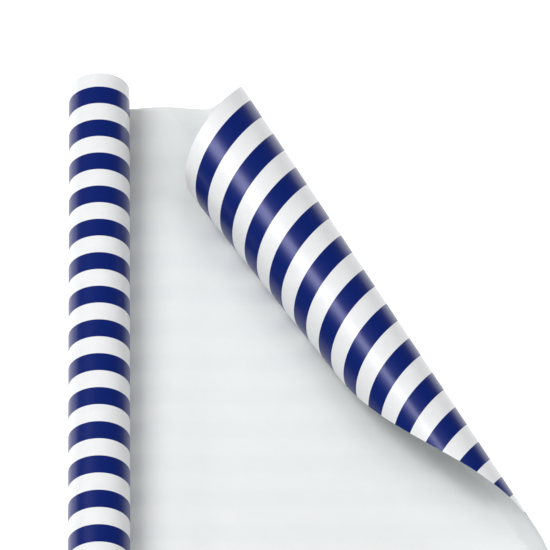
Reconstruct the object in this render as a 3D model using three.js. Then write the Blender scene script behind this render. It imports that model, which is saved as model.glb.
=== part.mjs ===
// A partly unrolled roll of wrapping paper on its spiral-wound cardboard core.
//
// Millimetres, +Z up. The roll lies along Y. The loose sheet runs out from under it towards +X with
// its plain back up and its printed side down, and the sheet's far corner curls up and over. The
// origin is on the table, under the middle of the whole outline.

import * as THREE from "three";

// Paper web.
const PAPER_WIDTH = 762;
const WEB_THICKNESS = 0.3;
const SHEET_REACH = 279; // roll axis to the cut leading edge
const PACK_DEPTH = 1.0; // all the wound turns under the outermost one

// Cardboard core, two plies, each a helical strip.
const CORE_BORE_RADIUS = 15.4;
const CORE_INSET = 0.5; // the core's ends inside the paper's
const PLY_THICKNESS = 0.5;
const PLY_PITCH = 95; // how far a strip advances in one turn
const PLY_SEAM = 0.6; // open butt seam between one turn of a strip and the next
const OUTER_SEAM_LAG = 2.2; // radians from the inner ply's seam to the outer ply's

// Tape that holds the first edge of the web on the core.
const TAPE_THICKNESS = 0.2;
const TAPE_LENGTH = 50; // along the core
const TAPE_WRAP = 1.1; // radians round the core

// Fits.
const CLEARANCE = 0.3; // between neighbouring pieces
const TAPE_CLEARANCE = 0.25; // under and over the tape

// Outermost turn and the strip of sheet that leaves it.
const TURN_END = 0.35; // radians short of the bottom, where the turn passes under the one below
const ROOT_REACH = 7; // from the roll's side to the line where the free sheet starts

// Curled corner: part of a cone whose point lies on the table, past the leading edge.
const CURL_START_GAP = 15.7; // along the end edge, from the strip beside the roll to the curl
const CURL_DROP = 392.5; // down the leading edge, from the sheet's end edge to the curl's start
const CURL_POINT_BEYOND = 353.7; // along the curl's first ruling, from the leading edge to the point
const CURL_MOUTH_RADIUS = 35.2; // radius of the curl at the sheet's end edge
const LOOSE_TURN = 4.5; // radians that the curl turns before it tightens
const TIGHTENING = 0.35; // added bend for each radian past that
const CORNER_BLUNT = 0.01; // share of the sweep that the blunt tip leaves off

// Facets.
const ROLL_FACETS = 36;
const PLY_FACETS = 24;
const CURL_STEPS = 64;

// Sizes that follow from those above.
const OUTER_PLY_RADIUS = CORE_BORE_RADIUS + PLY_THICKNESS + CLEARANCE;
const TAPE_RADIUS = OUTER_PLY_RADIUS + PLY_THICKNESS + TAPE_CLEARANCE;
const PACK_RADIUS = TAPE_RADIUS + TAPE_THICKNESS + TAPE_CLEARANCE;
const OUTER_TURN_RADIUS = PACK_RADIUS + PACK_DEPTH + CLEARANCE;
const ROLL_RADIUS = OUTER_TURN_RADIUS + WEB_THICKNESS;
const ROOT_END = ROLL_RADIUS + ROOT_REACH;
const END_EDGE = PAPER_WIDTH / 2;
const CORE_END = END_EDGE - CORE_INSET;

const cardboard = new THREE.MeshStandardMaterial({ color: 0xa98a64, roughness: 0.9, metalness: 0 });
const tape = new THREE.MeshStandardMaterial({ color: 0xe6e0cc, roughness: 0.4, metalness: 0 });
const printedPaper = new THREE.MeshStandardMaterial({ color: 0x10206e, roughness: 0.3, metalness: 0 });
const plainPaper = new THREE.MeshStandardMaterial({ color: 0xe8ecee, roughness: 0.7, metalness: 0 });

// A closed skin over a row of sections with the same number of corners, with flat ends.
function skinOver(sections) {
  const corners = sections[0].length;
  const positions = sections.flat().flatMap((point) => [point.x, point.y, point.z]);
  const index = [];
  for (let row = 0; row < sections.length - 1; row += 1) {
    for (let corner = 0; corner < corners; corner += 1) {
      const here = row * corners + corner;
      const beside = row * corners + ((corner + 1) % corners);
      index.push(here, beside, beside + corners);
      index.push(here, beside + corners, here + corners);
    }
  }
  const last = (sections.length - 1) * corners;
  for (let corner = 1; corner < corners - 1; corner += 1) {
    index.push(0, corner + 1, corner);
    index.push(last, last + corner, last + corner + 1);
  }
  const geometry = new THREE.BufferGeometry();
  geometry.setAttribute("position", new THREE.Float32BufferAttribute(positions, 3));
  geometry.setIndex(index);
  return geometry;
}

function named(name, geometry, material) {
  const mesh = new THREE.Mesh(geometry, material);
  mesh.name = name;
  return mesh;
}

// One core ply: a strip wound into a helix about Y and trimmed square at both ends of the core.
function spiralPly(innerRadius, firstAngle) {
  const stripWidth = PLY_PITCH - PLY_SEAM;
  const advance = PLY_PITCH / PLY_FACETS;
  const trim = (along) => THREE.MathUtils.clamp(along, -CORE_END, CORE_END);
  const sections = [];
  for (let low = advance - CORE_END - stripWidth; low <= CORE_END - advance; low += advance) {
    const angle = firstAngle + (sections.length * 2 * Math.PI) / PLY_FACETS;
    const corner = (radius, along) =>
      new THREE.Vector3(radius * Math.cos(angle), trim(along), radius * Math.sin(angle));
    sections.push([
      corner(innerRadius, low),
      corner(innerRadius + PLY_THICKNESS, low),
      corner(innerRadius + PLY_THICKNESS, low + stripWidth),
      corner(innerRadius, low + stripWidth),
    ]);
  }
  return skinOver(sections);
}

// The patch of tape between the outer ply and the first turn of paper.
function tapePatch() {
  const steps = Math.ceil((TAPE_WRAP * ROLL_FACETS) / (2 * Math.PI));
  const sections = [];
  for (let step = 0; step <= steps; step += 1) {
    const angle = (TAPE_WRAP * step) / steps;
    const corner = (radius, along) =>
      new THREE.Vector3(radius * Math.cos(angle), along, radius * Math.sin(angle));
    sections.push([
      corner(TAPE_RADIUS, -TAPE_LENGTH / 2),
      corner(TAPE_RADIUS + TAPE_THICKNESS, -TAPE_LENGTH / 2),
      corner(TAPE_RADIUS + TAPE_THICKNESS, TAPE_LENGTH / 2),
      corner(TAPE_RADIUS, TAPE_LENGTH / 2),
    ]);
  }
  return skinOver(sections);
}

// The wound turns, as one tight tube.
function woundTurns() {
  const outer = PACK_RADIUS + PACK_DEPTH;
  const profile = [
    new THREE.Vector2(PACK_RADIUS, -END_EDGE),
    new THREE.Vector2(outer, -END_EDGE),
    new THREE.Vector2(outer, END_EDGE),
    new THREE.Vector2(PACK_RADIUS, END_EDGE),
    new THREE.Vector2(PACK_RADIUS, -END_EDGE),
  ];
  return new THREE.LatheGeometry(profile, ROLL_FACETS);
}

// The printed side's path across the roll: in from the free sheet to the roll's lowest line, and
// clockwise round the roll. Each point carries the direction of the plain side.
function turnPath() {
  const path = [{ point: new THREE.Vector2(ROOT_END, 0), inward: new THREE.Vector2(0, 1) }];
  const sweep = 2 * Math.PI - TURN_END;
  const steps = Math.round((sweep * ROLL_FACETS) / (2 * Math.PI));
  for (let step = 0; step <= steps; step += 1) {
    const angle = -Math.PI / 2 - (sweep * step) / steps;
    const inward = new THREE.Vector2(-Math.cos(angle), -Math.sin(angle));
    const point = new THREE.Vector2(0, ROLL_RADIUS).addScaledVector(inward, -ROLL_RADIUS);
    path.push({ point, inward });
  }
  return path;
}

// The outermost turn with the strip of sheet that leaves it, one web thick.
function outermostTurn() {
  const path = turnPath();
  const printed = path.map(({ point }) => point);
  const plain = path.map(({ point, inward }) => point.clone().addScaledVector(inward, WEB_THICKNESS));
  const outline = new THREE.Shape([...printed, ...plain.reverse()]);
  const geometry = new THREE.ExtrudeGeometry(outline, { depth: PAPER_WIDTH, bevelEnabled: false });
  geometry.rotateX(Math.PI / 2);
  geometry.translate(0, END_EDGE, 0);
  return geometry;
}

// Where the curl starts on the end edge and on the leading edge, and the cone's point past them.
function curlLayout() {
  const onEndEdge = new THREE.Vector3(ROOT_END + CURL_START_GAP, END_EDGE, 0);
  const onLeadingEdge = new THREE.Vector3(SHEET_REACH, END_EDGE - CURL_DROP, 0);
  const firstRuling = onEndEdge.clone().sub(onLeadingEdge).normalize();
  const point = onLeadingEdge.clone().addScaledVector(firstRuling, -CURL_POINT_BEYOND);
  const mouthDistance = point.distanceTo(onEndEdge);
  const bend = Math.sqrt((mouthDistance / CURL_MOUTH_RADIUS) ** 2 - 1);
  return { onEndEdge, onLeadingEdge, firstRuling, point, bend };
}

// The flat part of the free sheet: everything between the strip beside the roll and the curl.
function flatSheet() {
  const { onEndEdge, onLeadingEdge } = curlLayout();
  const slope = (onEndEdge.x - onLeadingEdge.x) / (onEndEdge.y - onLeadingEdge.y);
  const setBack = CLEARANCE * Math.hypot(1, slope);
  const near = ROOT_END + CLEARANCE;
  const outline = new THREE.Shape([
    new THREE.Vector2(near, -END_EDGE),
    new THREE.Vector2(SHEET_REACH, -END_EDGE),
    new THREE.Vector2(SHEET_REACH, onLeadingEdge.y + setBack / slope),
    new THREE.Vector2(onEndEdge.x - setBack, END_EDGE),
    new THREE.Vector2(near, END_EDGE),
  ]);
  return new THREE.ExtrudeGeometry(outline, { depth: WEB_THICKNESS, bevelEnabled: false });
}

// The curled corner. Its straight rulings all pass through the cone's point. Each section is cut off
// by the leading edge at one end and by the end edge at the other, as both lie in the flat sheet.
function curledCorner() {
  const { firstRuling, point, bend } = curlLayout();
  const firstAngle = Math.atan2(firstRuling.y, firstRuling.x);
  const cornerAngle = Math.atan2(END_EDGE - point.y, SHEET_REACH - point.x);
  const step = ((firstAngle - cornerAngle) * (1 - CORNER_BLUNT)) / CURL_STEPS;
  const ruling = firstRuling.clone();
  const plainSide = new THREE.Vector3(0, 0, 1);
  const sections = [];
  for (let count = 0; count <= CURL_STEPS; count += 1) {
    const angle = firstAngle - step * count;
    const toLeadingEdge = (SHEET_REACH - point.x) / Math.cos(angle);
    const toEndEdge = (END_EDGE - point.y) / Math.sin(angle);
    const corner = (distance, lift) =>
      point.clone().addScaledVector(ruling, distance).addScaledVector(plainSide, lift);
    sections.push([
      corner(toLeadingEdge, 0),
      corner(toEndEdge, 0),
      corner(toEndEdge, WEB_THICKNESS),
      corner(toLeadingEdge, WEB_THICKNESS),
    ]);
    const tightened = Math.max(0, bend * step * (count + 0.5) - LOOSE_TURN) * TIGHTENING;
    const spin = ruling.clone().multiplyScalar(-bend * (1 + tightened)).sub(plainSide);
    const turn = spin.length() * step;
    ruling.applyAxisAngle(spin.clone().normalize(), turn);
    plainSide.applyAxisAngle(spin.normalize(), turn);
  }
  return skinOver(sections);
}

const roll = new THREE.Group();
roll.position.z = ROLL_RADIUS;
roll.add(named("core_inner_ply", spiralPly(CORE_BORE_RADIUS, 0), cardboard));
roll.add(named("core_outer_ply", spiralPly(OUTER_PLY_RADIUS, OUTER_SEAM_LAG), cardboard));
roll.add(named("start_tape", tapePatch(), tape));
roll.add(named("wound_paper", woundTurns(), printedPaper));

const wrappingPaperRoll = new THREE.Group();
wrappingPaperRoll.position.x = (ROLL_RADIUS - SHEET_REACH) / 2;
wrappingPaperRoll.add(roll);
wrappingPaperRoll.add(named("outer_turn", outermostTurn(), printedPaper));
wrappingPaperRoll.add(named("flat_sheet", flatSheet(), plainPaper));
wrappingPaperRoll.add(named("corner_curl", curledCorner(), printedPaper));

export default wrappingPaperRoll;
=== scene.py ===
# A partly unrolled roll of striped gift wrap, lying on a pale table with one corner curled over.
# Metres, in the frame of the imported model: the roll lies along Y and its loose sheet runs out to +X.
import math

import bpy
import numpy as np
from mathutils import Matrix, Vector


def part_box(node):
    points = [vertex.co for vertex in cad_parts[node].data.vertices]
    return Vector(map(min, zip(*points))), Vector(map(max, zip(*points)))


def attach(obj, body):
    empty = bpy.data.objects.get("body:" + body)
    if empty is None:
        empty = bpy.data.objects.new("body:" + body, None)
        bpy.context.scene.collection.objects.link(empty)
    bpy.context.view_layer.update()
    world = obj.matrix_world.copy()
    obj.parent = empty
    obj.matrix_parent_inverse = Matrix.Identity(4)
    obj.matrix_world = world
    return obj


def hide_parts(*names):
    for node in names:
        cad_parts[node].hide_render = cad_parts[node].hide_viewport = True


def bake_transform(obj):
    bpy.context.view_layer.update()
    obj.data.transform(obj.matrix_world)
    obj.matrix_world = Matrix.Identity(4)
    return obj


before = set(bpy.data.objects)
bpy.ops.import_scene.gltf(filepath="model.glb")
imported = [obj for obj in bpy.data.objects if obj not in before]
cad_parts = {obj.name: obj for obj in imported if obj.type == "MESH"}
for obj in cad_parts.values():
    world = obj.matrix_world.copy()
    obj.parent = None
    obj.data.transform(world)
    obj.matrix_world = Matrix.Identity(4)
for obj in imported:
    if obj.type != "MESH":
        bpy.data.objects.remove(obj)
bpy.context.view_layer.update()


# ---------------------------------------------------------------------------------------------
# Camera: a long lens well back from the table, looking down at the far end of the roll, so the
# roll's rings stay even along its length and its near end is out of view.
# ---------------------------------------------------------------------------------------------
wrap_low, wrap_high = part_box("outer_turn")
roll_radius = (wrap_high.z - wrap_low.z) / 2
roll_axis_x = wrap_low.x + roll_radius
end_edge_y = wrap_high.y

camera_tilt = math.radians(36)
camera_roll = -0.008
camera_distance = 7.37
aim_past_axis = 0.108
aim_inside_end = 0.142
aim = Vector((roll_axis_x + aim_past_axis, end_edge_y - aim_inside_end, roll_radius))

camera_data = bpy.data.cameras.new("camera")
camera_data.lens = 785
camera_data.clip_end = 60
camera = bpy.data.objects.new("camera", camera_data)
camera.rotation_euler = (camera_tilt, 0, camera_roll)
away = camera.rotation_euler.to_matrix() @ Vector((0, 0, 1))
camera.location = aim + away * camera_distance
bpy.context.scene.collection.objects.link(camera)
bpy.context.scene.camera = camera


# ---------------------------------------------------------------------------------------------
# Core: two plies of raw chipboard, each a strip wound into a helix and glued to the other, with an
# open butt seam between turns. A saw cuts the tube to length, so its ends are square.
# ---------------------------------------------------------------------------------------------
ply_pitch = 0.095
ply_seam = 0.0006
ply_thickness = 0.00058
ply_edge_share = 0.004
ply_edge_dent = 0.00006
ply_steps = 72
outer_seam_lag = 2.2

inner_low, inner_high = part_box("core_inner_ply")
outer_low, outer_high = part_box("core_outer_ply")
core_end_y = inner_high.y
inner_ply_radius = (inner_high.x - inner_low.x) / 2
outer_ply_radius = (outer_high.x - outer_low.x) / 2


def shell(name, front, back, coordinates, materials, smooth=True):
    """A closed thin body between two grids of points, front face first. coordinates is the web
    map in metres, and materials are those of the front face, the back face and the cut edges."""
    rows, columns = front.shape[:2]
    count = rows * columns
    grid = np.arange(count).reshape(rows, columns)
    here = grid[:-1, :-1].ravel()
    right = grid[:-1, 1:].ravel()
    across = grid[1:, 1:].ravel()
    below = grid[1:, :-1].ravel()
    front_faces = np.stack([here, right, across, below], 1)
    back_faces = np.stack([here, below, across, right], 1) + count
    rim = np.concatenate([grid[0, :-1], grid[:-1, -1], grid[-1, :0:-1], grid[:0:-1, 0]])
    after = np.roll(rim, -1)
    rim_faces = np.stack([after, rim, rim + count, after + count], 1)
    faces = np.concatenate([front_faces, back_faces, rim_faces])
    points = np.concatenate([front.reshape(-1, 3), back.reshape(-1, 3)])
    mesh = bpy.data.meshes.new(name)
    mesh.from_pydata(points.tolist(), [], faces.tolist())
    web = mesh.uv_layers.new(name="web")
    corners = np.zeros(len(mesh.loops), np.int32)
    mesh.loops.foreach_get("vertex_index", corners)
    flat = coordinates.reshape(-1, 2)
    web.data.foreach_set("uv", flat[corners % count].astype(np.float32).ravel())
    for material in materials:
        mesh.materials.append(material)
    kinds = np.repeat([0, 1, 2], [len(front_faces), len(back_faces), len(rim_faces)])
    mesh.polygons.foreach_set("material_index", kinds.astype(np.int32))
    mesh.polygons.foreach_set("use_smooth", np.full(len(faces), smooth))
    mesh.set_sharp_from_angle(angle=math.radians(50))
    mesh.update()
    piece = bpy.data.objects.new(name, mesh)
    bpy.context.scene.collection.objects.link(piece)
    return piece


def fibre_group():
    """Paper and board fibres: a cloudy formation, short fibres, and the height of both together."""
    group = bpy.data.node_groups.new("paper_fibres", "ShaderNodeTree")
    group.interface.new_socket("Web", in_out="INPUT", socket_type="NodeSocketVector")
    group.interface.new_socket("Cloud Size", in_out="INPUT", socket_type="NodeSocketFloat")
    group.interface.new_socket("Fibre Size", in_out="INPUT", socket_type="NodeSocketFloat")
    group.interface.new_socket("Stretch", in_out="INPUT", socket_type="NodeSocketVector")
    group.interface.new_socket("Cloud", in_out="OUTPUT", socket_type="NodeSocketFloat")
    group.interface.new_socket("Fibre", in_out="OUTPUT", socket_type="NodeSocketFloat")
    group.interface.new_socket("Height", in_out="OUTPUT", socket_type="NodeSocketFloat")
    start = group.nodes.new("NodeGroupInput")
    end = group.nodes.new("NodeGroupOutput")
    cloud_scale = group.nodes.new("ShaderNodeMath")
    cloud_scale.operation = "DIVIDE"
    cloud_scale.inputs[0].default_value = 1
    fibre_scale = group.nodes.new("ShaderNodeMath")
    fibre_scale.operation = "DIVIDE"
    fibre_scale.inputs[0].default_value = 1
    cloud = group.nodes.new("ShaderNodeTexNoise")
    cloud.inputs["Detail"].default_value = 4
    cloud.inputs["Roughness"].default_value = 0.6
    stretched = group.nodes.new("ShaderNodeVectorMath")
    stretched.operation = "MULTIPLY"
    fibre = group.nodes.new("ShaderNodeTexNoise")
    fibre.inputs["Detail"].default_value = 5
    fibre.inputs["Roughness"].default_value = 0.7
    fibre.inputs["Distortion"].default_value = 0.8
    both = group.nodes.new("ShaderNodeMath")
    both.operation = "MULTIPLY_ADD"
    both.inputs[1].default_value = 0.35
    link = group.links.new
    link(start.outputs["Cloud Size"], cloud_scale.inputs[1])
    link(start.outputs["Fibre Size"], fibre_scale.inputs[1])
    link(start.outputs["Web"], cloud.inputs["Vector"])
    link(cloud_scale.outputs[0], cloud.inputs["Scale"])
    link(start.outputs["Web"], stretched.inputs[0])
    link(start.outputs["Stretch"], stretched.inputs[1])
    link(stretched.outputs[0], fibre.inputs["Vector"])
    link(fibre_scale.outputs[0], fibre.inputs["Scale"])
    link(cloud.outputs["Fac"], both.inputs[0])
    link(fibre.outputs["Fac"], both.inputs[2])
    link(cloud.outputs["Fac"], end.inputs["Cloud"])
    link(fibre.outputs["Fac"], end.inputs["Fibre"])
    link(both.outputs[0], end.inputs["Height"])
    return group


paper_fibres = fibre_group()


def new_material(name):
    """A node material, and its Principled shader."""
    material = bpy.data.materials.new(name)
    material.use_nodes = True
    return material, material.node_tree.nodes["Principled BSDF"]


def web_in(material):
    """The web map that every piece of board and paper carries, in metres."""
    web = material.node_tree.nodes.new("ShaderNodeUVMap")
    web.uv_map = "web"
    web.location = (-1200, 0)
    return web


def fibres_in(material, web, cloud_size, fibre_size, stretch=(1, 1, 1)):
    """The fibre group, placed in a material with its own sizes."""
    placed = material.node_tree.nodes.new("ShaderNodeGroup")
    placed.node_tree = paper_fibres
    placed.location = (-950, -200)
    placed.inputs["Cloud Size"].default_value = cloud_size
    placed.inputs["Fibre Size"].default_value = fibre_size
    placed.inputs["Stretch"].default_value = stretch
    material.node_tree.links.new(web.outputs["UV"], placed.inputs["Web"])
    return placed


def graded(material, value, low, high, place=(-600, 0)):
    """A value from 0 to 1 turned into a colour between two, through the middle of the noise's range."""
    ramp = material.node_tree.nodes.new("ShaderNodeValToRGB")
    ramp.location = place
    ramp.color_ramp.elements[0].position = 0.34
    ramp.color_ramp.elements[0].color = (*low, 1)
    ramp.color_ramp.elements[1].position = 0.66
    ramp.color_ramp.elements[1].color = (*high, 1)
    material.node_tree.links.new(value, ramp.inputs["Fac"])
    return ramp


def bumped(material, shader, height, strength, distance):
    """A bump of that height under the shader's normal."""
    bump = material.node_tree.nodes.new("ShaderNodeBump")
    bump.location = (-300, -400)
    bump.inputs["Strength"].default_value = strength
    bump.inputs["Distance"].default_value = distance
    material.node_tree.links.new(height, bump.inputs["Height"])
    material.node_tree.links.new(bump.outputs["Normal"], shader.inputs["Normal"])


def mixed(material, factor, first, second, blend="MIX"):
    """A colour mix of two linked or plain colours by a linked or plain factor."""
    mix = material.node_tree.nodes.new("ShaderNodeMix")
    mix.data_type = "RGBA"
    mix.blend_type = blend
    for socket, value in (("Factor", factor), ("A", first), ("B", second)):
        if isinstance(value, bpy.types.NodeSocket):
            material.node_tree.links.new(value, mix.inputs[socket])
        elif isinstance(value, (int, float)):
            mix.inputs[socket].default_value = value
        else:
            mix.inputs[socket].default_value = (*value, 1)
    return mix.outputs["Result"]


chipboard, chipboard_shader = new_material("chipboard")
board_fibres = fibres_in(chipboard, web_in(chipboard), 0.006, 0.0007, (0.25, 1, 1))
board_tone = graded(chipboard, board_fibres.outputs["Fibre"], (0.19, 0.14, 0.09), (0.42, 0.33, 0.235))
board_cloud = graded(chipboard, board_fibres.outputs["Cloud"], (0.86, 0.84, 0.82), (1, 1, 1), (-600, -260))
board_colour = mixed(
    chipboard, 1, board_tone.outputs["Color"], board_cloud.outputs["Color"], "MULTIPLY"
)
chipboard.node_tree.links.new(board_colour, chipboard_shader.inputs["Base Color"])
chipboard_shader.inputs["Roughness"].default_value = 0.92
chipboard_shader.inputs["Specular IOR Level"].default_value = 0.25
bumped(chipboard, chipboard_shader, board_fibres.outputs["Height"], 0.6, 0.00012)


def spiral_ply(name, outer_radius, first_angle):
    """One strip of board wound about the roll's axis and trimmed square at both ends."""
    strip = ply_pitch - ply_seam
    advance = ply_pitch / ply_steps
    lows = np.arange(-core_end_y - strip + advance, core_end_y - advance / 2, advance)
    angles = first_angle + np.arange(len(lows)) * 2 * math.pi / ply_steps
    shares = np.array([0, ply_edge_share, 0.5, 1 - ply_edge_share, 1])
    along = np.clip(lows[:, None] + strip * shares, -core_end_y, core_end_y)
    dent = np.where((shares == 0) | (shares == 1), ply_edge_dent, 0)

    def ring(radius):
        radii = radius - dent[None, :] + np.zeros_like(along)
        x = roll_axis_x + radii * np.cos(angles)[:, None]
        z = roll_radius + radii * np.sin(angles)[:, None]
        return np.stack([x, along, z], 2)

    coordinates = np.stack([np.repeat((angles * outer_radius)[:, None], len(shares), 1), along], 2)
    front = ring(outer_radius)
    back = ring(outer_radius - ply_thickness)
    return shell(name, front[:, ::-1], back[:, ::-1], coordinates[:, ::-1], [chipboard] * 3)


inner_ply = spiral_ply("inner_ply", inner_ply_radius, 0)
outer_ply = spiral_ply("outer_ply", outer_ply_radius, outer_seam_lag)
for ply, cad_node in ((inner_ply, "core_inner_ply"), (outer_ply, "core_outer_ply")):
    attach(ply, "wound_roll")
    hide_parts(cad_node)


# ---------------------------------------------------------------------------------------------
# Start tape: a short strip of film that holds the paper's first edge on the core. The turns above
# it press it flat, and its glue shows as a faint mottle.
# ---------------------------------------------------------------------------------------------
tape_film, tape_shader = new_material("tape_film")
tape_place = tape_film.node_tree.nodes.new("ShaderNodeTexCoord")
tape_glue = tape_film.node_tree.nodes.new("ShaderNodeTexNoise")
tape_glue.inputs["Scale"].default_value = 400
tape_glue.inputs["Detail"].default_value = 4
tape_film.node_tree.links.new(tape_place.outputs["Object"], tape_glue.inputs["Vector"])
tape_tone = graded(tape_film, tape_glue.outputs["Fac"], (0.72, 0.68, 0.55), (0.86, 0.84, 0.76))
tape_film.node_tree.links.new(tape_tone.outputs["Color"], tape_shader.inputs["Base Color"])
tape_shader.inputs["Roughness"].default_value = 0.28
tape_shader.inputs["Coat Weight"].default_value = 0.4
bumped(tape_film, tape_shader, tape_glue.outputs["Fac"], 0.2, 0.00003)
for tape_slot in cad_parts["start_tape"].material_slots:
    tape_slot.material = tape_film


# ---------------------------------------------------------------------------------------------
# Paper: thin white stock, printed on one side with navy stripes that run along the web, and
# calendered to a soft gloss. The back is plain, matt and slightly cool, and the print shows through.
# ---------------------------------------------------------------------------------------------
paper_thickness = 0.00012
first_stripe = 0.0105
stripe_pitch = 0.0254
stripe_share = 0.503
paper_width = end_edge_y * 2


def stripe_group():
    """How far a point lies inside a printed stripe, from 0 to 1, by its distance from the end edge."""
    group = bpy.data.node_groups.new("printed_stripes", "ShaderNodeTree")
    group.interface.new_socket("Web", in_out="INPUT", socket_type="NodeSocketVector")
    group.interface.new_socket("First Stripe", in_out="INPUT", socket_type="NodeSocketFloat")
    group.interface.new_socket("Pitch", in_out="INPUT", socket_type="NodeSocketFloat")
    group.interface.new_socket("Share", in_out="INPUT", socket_type="NodeSocketFloat")
    group.interface.new_socket("Softness", in_out="INPUT", socket_type="NodeSocketFloat")
    group.interface.new_socket("Ink", in_out="OUTPUT", socket_type="NodeSocketFloat")
    start = group.nodes.new("NodeGroupInput")
    end = group.nodes.new("NodeGroupOutput")
    parts = group.nodes.new("ShaderNodeSeparateXYZ")
    link = group.links.new
    link(start.outputs["Web"], parts.inputs[0])

    def step(operation, first, second):
        made = group.nodes.new("ShaderNodeMath")
        made.operation = operation
        for socket, value in zip(made.inputs, (first, second)):
            if isinstance(value, (int, float)):
                socket.default_value = value
            elif value is not None:
                link(value, socket)
        return made.outputs[0]

    past_first = step("SUBTRACT", parts.outputs["Y"], start.outputs["First Stripe"])
    repeats = step("DIVIDE", past_first, start.outputs["Pitch"])
    half_share = step("MULTIPLY", start.outputs["Share"], 0.5)
    from_middle = step("SUBTRACT", repeats, half_share)
    shifted = step("ADD", from_middle, 0.5)
    phase = step("FRACT", shifted, None)
    centred = step("SUBTRACT", phase, 0.5)
    offset = step("ABSOLUTE", centred, None)
    inside = step("SUBTRACT", half_share, offset)
    inside_length = step("MULTIPLY", inside, start.outputs["Pitch"])
    soft_share = step("DIVIDE", inside_length, start.outputs["Softness"])
    raised = step("ADD", soft_share, 0.5)
    low_limit = step("MAXIMUM", raised, 0)
    ink = step("MINIMUM", low_limit, 1)
    link(ink, end.inputs["Ink"])
    return group


printed_stripes = stripe_group()


def stripes_in(material, web, softness):
    """The stripe group, placed in a material with the print's sizes."""
    placed = material.node_tree.nodes.new("ShaderNodeGroup")
    placed.node_tree = printed_stripes
    placed.location = (-950, 200)
    placed.inputs["First Stripe"].default_value = first_stripe
    placed.inputs["Pitch"].default_value = stripe_pitch
    placed.inputs["Share"].default_value = stripe_share
    placed.inputs["Softness"].default_value = softness
    material.node_tree.links.new(web.outputs["UV"], placed.inputs["Web"])
    return placed


def ranged(material, value, low, high):
    """A value from 0 to 1 moved to the range from low to high."""
    scaled = material.node_tree.nodes.new("ShaderNodeMapRange")
    scaled.inputs["To Min"].default_value = low
    scaled.inputs["To Max"].default_value = high
    material.node_tree.links.new(value, scaled.inputs["Value"])
    return scaled.outputs["Result"]


printed_side, printed_shader = new_material("printed_side")
printed_web = web_in(printed_side)
printed_fibres = fibres_in(printed_side, printed_web, 0.009, 0.0006)
print_ink = stripes_in(printed_side, printed_web, 0.00015)
white_stock = graded(
    printed_side, printed_fibres.outputs["Cloud"], (0.715, 0.723, 0.727), (0.747, 0.756, 0.76)
)
navy_ink = graded(
    printed_side,
    printed_fibres.outputs["Height"],
    (0.0002, 0.0082, 0.096),
    (0.0005, 0.0106, 0.122),
    (-600, 300),
)
print_colour = mixed(
    printed_side, print_ink.outputs["Ink"], white_stock.outputs["Color"], navy_ink.outputs["Color"]
)
printed_side.node_tree.links.new(print_colour, printed_shader.inputs["Base Color"])
print_roughness = ranged(printed_side, printed_fibres.outputs["Fibre"], 0.24, 0.36)
printed_side.node_tree.links.new(print_roughness, printed_shader.inputs["Roughness"])
printed_shader.inputs["Specular IOR Level"].default_value = 0.36
printed_shader.inputs["Specular Tint"].default_value = (0.68, 0.68, 1, 1)
printed_shader.inputs["Coat Weight"].default_value = 0.05
printed_shader.inputs["Coat Roughness"].default_value = 0.22
bumped(printed_side, printed_shader, printed_fibres.outputs["Height"], 0.12, 0.00004)

plain_back, plain_shader = new_material("plain_back")
plain_web = web_in(plain_back)
plain_fibres = fibres_in(plain_back, plain_web, 0.012, 0.0008)
show_through = stripes_in(plain_back, plain_web, 0.004)
back_stock = graded(plain_back, plain_fibres.outputs["Cloud"], (0.708, 0.726, 0.724), (0.722, 0.74, 0.738))
shown = ranged(plain_back, show_through.outputs["Ink"], 0, 0.045)
back_colour = mixed(plain_back, shown, back_stock.outputs["Color"], (0.42, 0.47, 0.6))
plain_back.node_tree.links.new(back_colour, plain_shader.inputs["Base Color"])
plain_shader.inputs["Roughness"].default_value = 0.72
plain_shader.inputs["Specular IOR Level"].default_value = 0.3
bumped(plain_back, plain_shader, plain_fibres.outputs["Height"], 0.25, 0.00006)

cut_edge, cut_shader = new_material("cut_edge")
cut_fibres = fibres_in(cut_edge, web_in(cut_edge), 0.003, 0.0003)
cut_tone = graded(cut_edge, cut_fibres.outputs["Fibre"], (0.66, 0.67, 0.67), (0.86, 0.87, 0.86))
cut_edge.node_tree.links.new(cut_tone.outputs["Color"], cut_shader.inputs["Base Color"])
cut_shader.inputs["Roughness"].default_value = 0.85
bumped(cut_edge, cut_shader, cut_fibres.outputs["Fibre"], 0.5, 0.00008)

paper_faces = [printed_side, plain_back, cut_edge]


# ---------------------------------------------------------------------------------------------
# Wound turns: the same paper, wound tight on the core. Each turn lies on the one below and strays
# a little along the core, which is what the roll's two ends show.
# ---------------------------------------------------------------------------------------------
turns = 14
turn_steps = 96
first_turn_gap = 0.00035
last_turn_gap = 2.6 * paper_thickness
pressed_thickness = 0.8 * paper_thickness
long_stray = 0.00016
short_stray = 0.00009
pack_inner = outer_ply_radius + first_turn_gap
pack_outer = roll_radius - last_turn_gap
wind_angle = np.linspace(0, turns * 2 * math.pi, turns * turn_steps + 1)
wind_share = wind_angle / wind_angle[-1]
wind_radius = pack_inner + (pack_outer - pack_inner) * wind_share
stray = long_stray * np.sin(wind_angle * 0.37) + short_stray * np.sin(wind_angle * 1.31 + 0.8)


def wound_grid(radius):
    """The pack's points at the two end edges, for each step of the winding."""
    angle = -math.pi / 2 - wind_angle
    x = roll_axis_x + radius * np.cos(angle)
    z = roll_radius + radius * np.sin(angle)
    near = np.stack([x, np.full_like(x, -end_edge_y) + stray, z], 1)
    far = np.stack([x, np.full_like(x, end_edge_y) + stray, z], 1)
    return np.stack([near, far], 1)


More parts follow.
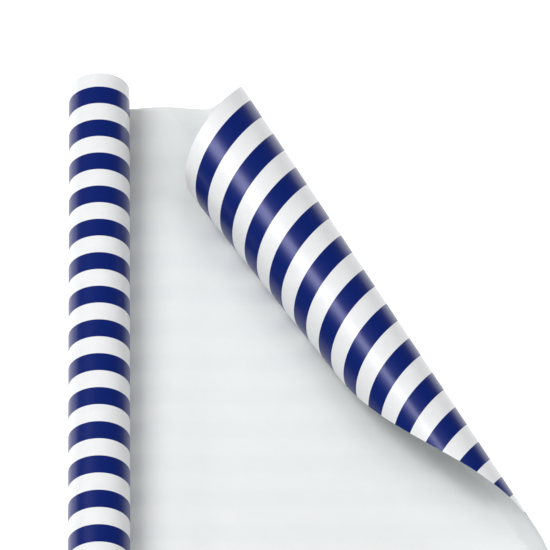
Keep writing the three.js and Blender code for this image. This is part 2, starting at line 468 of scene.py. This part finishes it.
wound_along = np.stack([wind_radius * wind_angle, wind_radius * wind_angle], 1)
wound_across = np.stack([np.full_like(wind_angle, paper_width), np.zeros_like(wind_angle)], 1)
wound_turns = shell(
    "wound_turns",
    wound_grid(wind_radius)[:, ::-1],
    wound_grid(wind_radius - pressed_thickness)[:, ::-1],
    np.stack([wound_along, wound_across], 2)[:, ::-1],
    paper_faces,
)
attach(wound_turns, "wound_roll")
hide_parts("wound_paper")


# ---------------------------------------------------------------------------------------------
# Loose sheet: the outermost turn comes down round the back of the roll and leaves it along the
# table, printed side down. Held by the roll's spring, it rises in a low swell before it lies flat.
# ---------------------------------------------------------------------------------------------
sheet_low, sheet_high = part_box("flat_sheet")
curl_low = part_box("corner_curl")[0]
sheet_reach = sheet_high.x
curl_on_end = curl_low.x
curl_on_leading = curl_low.y
cone_beyond = 0.3537
first_ruling = Vector((curl_on_end - sheet_reach, end_edge_y - curl_on_leading, 0)).normalized()
cone_x = sheet_reach - first_ruling.x * cone_beyond
cone_y = curl_on_leading - first_ruling.y * cone_beyond
seam_angle = 0.0085
ruling_angle = math.atan2(first_ruling.y, first_ruling.x)
swell_start = roll_axis_x + 0.016
swell_end = roll_axis_x + 0.076
swell_height = 0.0027
swell_lean = 0.78
swell_long_wave = 0.18
swell_short_wave = 0.08
ripple_height = 0.00022
ripple_lift = 1.6


def swell(x, y):
    """How high the sheet rises off the table beside the roll."""
    share = np.clip((x - swell_start) / (swell_end - swell_start), 0, 1) ** swell_lean
    along = 1 + swell_long_wave * np.sin(y * 9.0 + 0.6) + swell_short_wave * np.sin(y * 23.0)
    return swell_height * np.sin(math.pi * share) ** 2 * along


def ripple(x, y):
    """The slight waves of a sheet that has been wound, highest at its leading edge."""
    away = np.clip((x - swell_start) / (sheet_reach - swell_start), 0, 1)
    wave = np.sin(x * 38.0 + 1.4 * np.sin(y * 5.0)) + 0.6 * np.sin(y * 11.0 + x * 9.0)
    return ripple_height * (ripple_lift + wave) * away


seam_direction = ruling_angle + seam_angle
seam_slope = math.cos(seam_direction) / math.sin(seam_direction)
seam_on_leading = cone_y + (sheet_reach - cone_x) / seam_slope
rows_far = np.linspace(end_edge_y, seam_on_leading, 90)
rows_near = np.linspace(seam_on_leading, -end_edge_y, 60)[1:]
rows = np.concatenate([rows_far, rows_near])
reach = np.minimum(cone_x + (rows - cone_y) * seam_slope, sheet_reach)

overlap_angle = 0.3
layer_spacing = 1.15 * paper_thickness
turn_angle = np.linspace(2 * math.pi + overlap_angle, 0, 130)
turn_radius = roll_radius - layer_spacing * turn_angle / (2 * math.pi)
turn_x = roll_axis_x - turn_radius * np.sin(turn_angle)
turn_z = roll_radius - turn_radius * np.cos(turn_angle)
turn_in = np.stack([np.sin(turn_angle), np.cos(turn_angle)], 1)

crowding = 1.25
flat_share = np.linspace(0, 1, 110)[1:] ** crowding
flat_x = roll_axis_x + (reach[:, None] - roll_axis_x) * flat_share
flat_z = swell(flat_x, rows[:, None]) + ripple(flat_x, rows[:, None])
every_row = np.ones((len(rows), 1))
sheet_x = np.concatenate([turn_x * every_row, flat_x], 1)
sheet_z = np.concatenate([turn_z * every_row, flat_z], 1)
sheet_y = rows[:, None] * np.ones_like(sheet_x)
printed_points = np.stack([sheet_x, sheet_y, sheet_z], 2)
inward = np.zeros_like(printed_points)
inward[:, :, 2] = 1
inward[:, : len(turn_x), 0] = turn_in[:, 0]
inward[:, : len(turn_x), 2] = turn_in[:, 1]
plain_points = printed_points + inward * paper_thickness
sheet_along = np.concatenate([-turn_angle * roll_radius * every_row, flat_x - roll_axis_x], 1)
sheet_web = np.stack([sheet_along, end_edge_y - sheet_y], 2)
loose_sheet = shell("loose_sheet", printed_points, plain_points, sheet_web, paper_faces)
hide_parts("outer_turn", "flat_sheet")
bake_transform(loose_sheet)


# ---------------------------------------------------------------------------------------------
# Curled corner: the end of the same sheet, still set in the curve of the roll. It curls up and back
# as part of a cone, printed side out, sags a little under its weight, and its tip winds inward.
# ---------------------------------------------------------------------------------------------
curl_mouth_radius = 0.0352
loose_turn = 4.5
tightening = 0.35
blunt_tip_share = 0.0015
ripple_fade_turn = 1.3
sag_share = 0.37
mouth_distance = math.hypot(curl_on_end - cone_x, end_edge_y - cone_y)
bend = math.sqrt((mouth_distance / curl_mouth_radius) ** 2 - 1)
corner_angle = math.atan2(end_edge_y - cone_y, sheet_reach - cone_x)
curl_sweep = (ruling_angle - corner_angle) * (1 - blunt_tip_share)
sweep = np.concatenate([np.linspace(-seam_angle, 0, 9)[:-1], np.linspace(0, curl_sweep, 240)])

ruling = Vector((math.cos(ruling_angle), math.sin(ruling_angle), 0))
plain_side = Vector((0, 0, 1))
rulings = []
plain_sides = []
curved = []
turned = 0
for before, after in zip(sweep, np.append(sweep[1:], sweep[-1])):
    if before < 0:
        rulings.append((math.cos(ruling_angle - before), math.sin(ruling_angle - before), 0))
        plain_sides.append((0, 0, 1))
        curved.append(0)
        continue
    rulings.append(tuple(ruling))
    plain_sides.append(tuple(plain_side))
    curved.append(turned)
    extra = max(0, bend * (before + after) / 2 - loose_turn) * tightening
    spin = ruling * (-bend * (1 + extra)) - plain_side
    turn = Matrix.Rotation(spin.length * (after - before), 3, spin.normalized())
    ruling = turn @ ruling
    plain_side = turn @ plain_side
    turned += spin.length * (after - before)

rulings = np.array(rulings)[:, None, :]
plain_sides = np.array(plain_sides)[:, None, :]
curved = np.array(curved)[:, None]
directions = (ruling_angle - sweep)[:, None]
from_leading = (sheet_reach - cone_x) / np.cos(directions)
from_end = (end_edge_y - cone_y) / np.sin(directions)
distances = from_leading + (from_end - from_leading) * np.linspace(0, 1, 80)
unrolled_x = cone_x + distances * np.cos(directions)
unrolled_y = cone_y + distances * np.sin(directions)
still_flat = np.clip(1 - curved / ripple_fade_turn, 0, 1) ** 2
rise = (swell(unrolled_x, unrolled_y) + ripple(unrolled_x, unrolled_y)) * still_flat
apex = np.array([cone_x, cone_y, 0])
curl_printed = apex + rulings * distances[:, :, None]
sag_height = curl_mouth_radius * distances / mouth_distance * sag_share
held_up = 1 - np.exp(-((curl_printed[:, :, 2] / sag_height) ** 3))
curl_printed[:, :, 2] = curl_printed[:, :, 2] * held_up + rise
curl_plain = curl_printed + plain_sides * paper_thickness
curl_web = np.stack([unrolled_x - roll_axis_x, end_edge_y - unrolled_y], 2)
curled_corner = shell("curled_corner_paper", curl_printed, curl_plain, curl_web, paper_faces)
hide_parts("corner_curl")
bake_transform(curled_corner)


# ---------------------------------------------------------------------------------------------
# Table: a wide white board with a faint grain. A narrow softbox at the left makes the gloss on the
# paper, and broad soft lamps at the right, overhead and in front fill the shadows. Behind is white.
# ---------------------------------------------------------------------------------------------
table_reach = 6
table_drop = 0.0006
table_corners = [
    (-table_reach, -table_reach, 0),
    (table_reach, -table_reach, 0),
    (table_reach, table_reach, 0),
    (-table_reach, table_reach, 0),
]
table_mesh = bpy.data.meshes.new("table_top")
table_mesh.from_pydata(table_corners, [], [(0, 1, 2, 3)])
table_top = bpy.data.objects.new("table_top", table_mesh)
table_top.location = (0, 0, -table_drop)
bpy.context.scene.collection.objects.link(table_top)
table_white, table_shader = new_material("table_white")
table_place = table_white.node_tree.nodes.new("ShaderNodeTexCoord")
table_grain = table_white.node_tree.nodes.new("ShaderNodeTexNoise")
table_grain.inputs["Scale"].default_value = 60
table_white.node_tree.links.new(table_place.outputs["Object"], table_grain.inputs["Vector"])
table_tone = graded(table_white, table_grain.outputs["Fac"], (0.9, 0.9, 0.9), (0.93, 0.93, 0.93))
table_white.node_tree.links.new(table_tone.outputs["Color"], table_shader.inputs["Base Color"])
table_white.node_tree.links.new(table_tone.outputs["Color"], table_shader.inputs["Emission Color"])
table_shader.inputs["Emission Strength"].default_value = 0.5
table_shader.inputs["Roughness"].default_value = 0.9
table_shader.inputs["Specular IOR Level"].default_value = 0.1
table_mesh.materials.append(table_white)


def lamp(name, place, towards, width, height, power):
    """A soft white rectangular lamp, aimed at a point."""
    data = bpy.data.lights.new(name, "AREA")
    data.shape = "RECTANGLE"
    data.size = width
    data.size_y = height
    data.energy = power
    light = bpy.data.objects.new(name, data)
    light.location = place
    light.rotation_euler = (Vector(towards) - Vector(place)).to_track_quat("-Z", "Y").to_euler()
    bpy.context.scene.collection.objects.link(light)


lamp("left_softbox", (-0.88, 0.43, 1.28), (-0.02, 0.15, 0), 0.34, 0.9, 14.5)
lamp("right_fill", (1.6, -0.5, 1.9), (0, 0, 0), 1.8, 1.8, 17)
lamp("overhead", (0.05, -0.15, 2.3), (0, 0, 0), 2.0, 2.0, 19.5)
lamp("front_fill", (-0.7, -1.9, 1.1), (0, 0, 0), 1.6, 1.0, 14)

studio = bpy.data.worlds.new("studio")
studio.use_nodes = True
room_light = studio.node_tree.nodes["Background"]
room_light.inputs["Color"].default_value = (1, 1, 1, 1)
room_light.inputs["Strength"].default_value = 0.15
white_wall = studio.node_tree.nodes.new("ShaderNodeBackground")
white_wall.inputs["Color"].default_value = (1, 1, 1, 1)
wall_or_light = studio.node_tree.nodes.new("ShaderNodeMixShader")
light_path = studio.node_tree.nodes.new("ShaderNodeLightPath")
studio.node_tree.links.new(light_path.outputs["Is Camera Ray"], wall_or_light.inputs["Fac"])
studio.node_tree.links.new(room_light.outputs["Background"], wall_or_light.inputs[1])
studio.node_tree.links.new(white_wall.outputs["Background"], wall_or_light.inputs[2])
studio.node_tree.links.new(
    wall_or_light.outputs["Shader"], studio.node_tree.nodes["World Output"].inputs["Surface"]
)
bpy.context.scene.world = studio
bpy.context.scene.view_settings.view_transform = "Standard"
